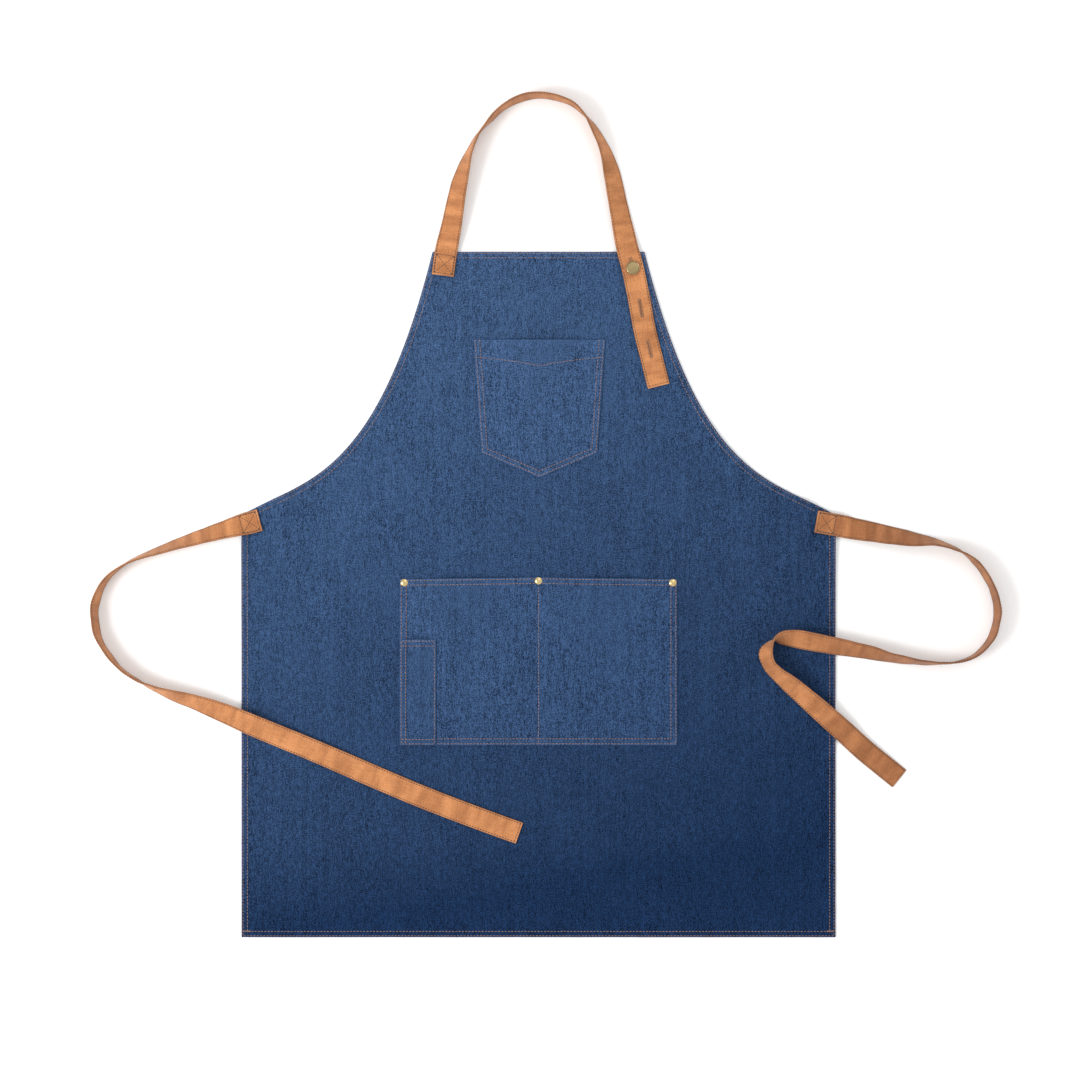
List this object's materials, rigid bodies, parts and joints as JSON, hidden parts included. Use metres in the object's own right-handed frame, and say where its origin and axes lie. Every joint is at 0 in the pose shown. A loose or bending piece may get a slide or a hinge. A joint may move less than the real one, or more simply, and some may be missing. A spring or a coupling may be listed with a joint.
{
  "type": "bib apron",
  "caption": "Denim bib apron laid flat, with patch pockets, a canvas neck strap that buttons on, and two canvas waist ties.",
  "frame": {"origin": "middle of the panel, on its back face, which is the face it lies on", "axes": "+Y towards the bib's top edge, +Z out of the front of the cloth, +X to the right as seen from the front"},
  "size_m": [0.9909, 0.9219, 0.0261],
  "materials": {
    "denim": "blue cotton twill, washed",
    "canvas": "tan cotton canvas, folded and edge-stitched",
    "thread": "copper-brown topstitching thread",
    "button_brass": "antique, dull, with a brighter rolled rim",
    "rivet_brass": "polished"
  },
  "bodies": {
    "root": {"front_panel": "denim", "top_hem": "denim", "bottom_hem": "denim", "left_side_hem": "denim", "right_side_hem": "denim", "left_arm_hem": "denim", "right_arm_hem": "denim", "chest_pocket": "denim", "lower_pocket": "denim", "pen_pocket": "denim", "neck_strap_sewn_end": "canvas", "neck_strap_button_end": "canvas", "left_tie_sewn_end": "canvas", "right_tie_sewn_end": "canvas", "button_tack": "button_brass", "rivet_cap_left": "rivet_brass", "rivet_cap_centre": "rivet_brass", "rivet_cap_right": "rivet_brass", "rivet_burr_left": "rivet_brass", "rivet_burr_centre": "rivet_brass", "rivet_burr_right": "rivet_brass", "hem_stitching": "thread", "chest_pocket_stitching": "thread", "lower_pocket_stitching": "thread", "pen_pocket_stitching": "thread", "neck_patch_stitching": "thread", "left_tie_patch_stitching": "thread", "right_tie_patch_stitching": "thread"},
    "neck_loop": {"neck_strap_loop": "canvas"},
    "strap_tail": {"neck_strap_tail": "canvas"},
    "left_tie": {"left_waist_tie": "canvas"},
    "right_tie": {"right_waist_tie": "canvas"},
    "button": {"button_cap": "button_brass"}
  },
  "joints": [
    {"name": "neck_loop_fold", "type": "hinge", "parent": "root", "child": "neck_loop", "pos_m": [0, 0.375, 0.005], "axis": [1, 0, 0], "range_deg": [0, 135]},
    {"name": "strap_tail_lift", "type": "hinge", "parent": "root", "child": "strap_tail", "pos_m": [0.1042, 0.3443, 0.005], "axis": [-0.9798, -0.2, 0], "range_deg": [0, 60]},
    {"name": "left_tie_lift", "type": "hinge", "parent": "root", "child": "left_tie", "pos_m": [-0.34145, 0.08402, 0.0046], "axis": [-0.9613, -0.2756, 0], "range_deg": [0, 110]},
    {"name": "right_tie_lift", "type": "hinge", "parent": "root", "child": "right_tie", "pos_m": [0.33928, 0.08609, 0.0046], "axis": [-0.9833, 0.1822, 0], "range_deg": [0, 110]},
    {"name": "button_swivel", "type": "hinge", "parent": "root", "child": "button", "pos_m": [0.103, 0.357, 0.0052], "axis": [0, 0, 1], "continuous": true}
  ]
}
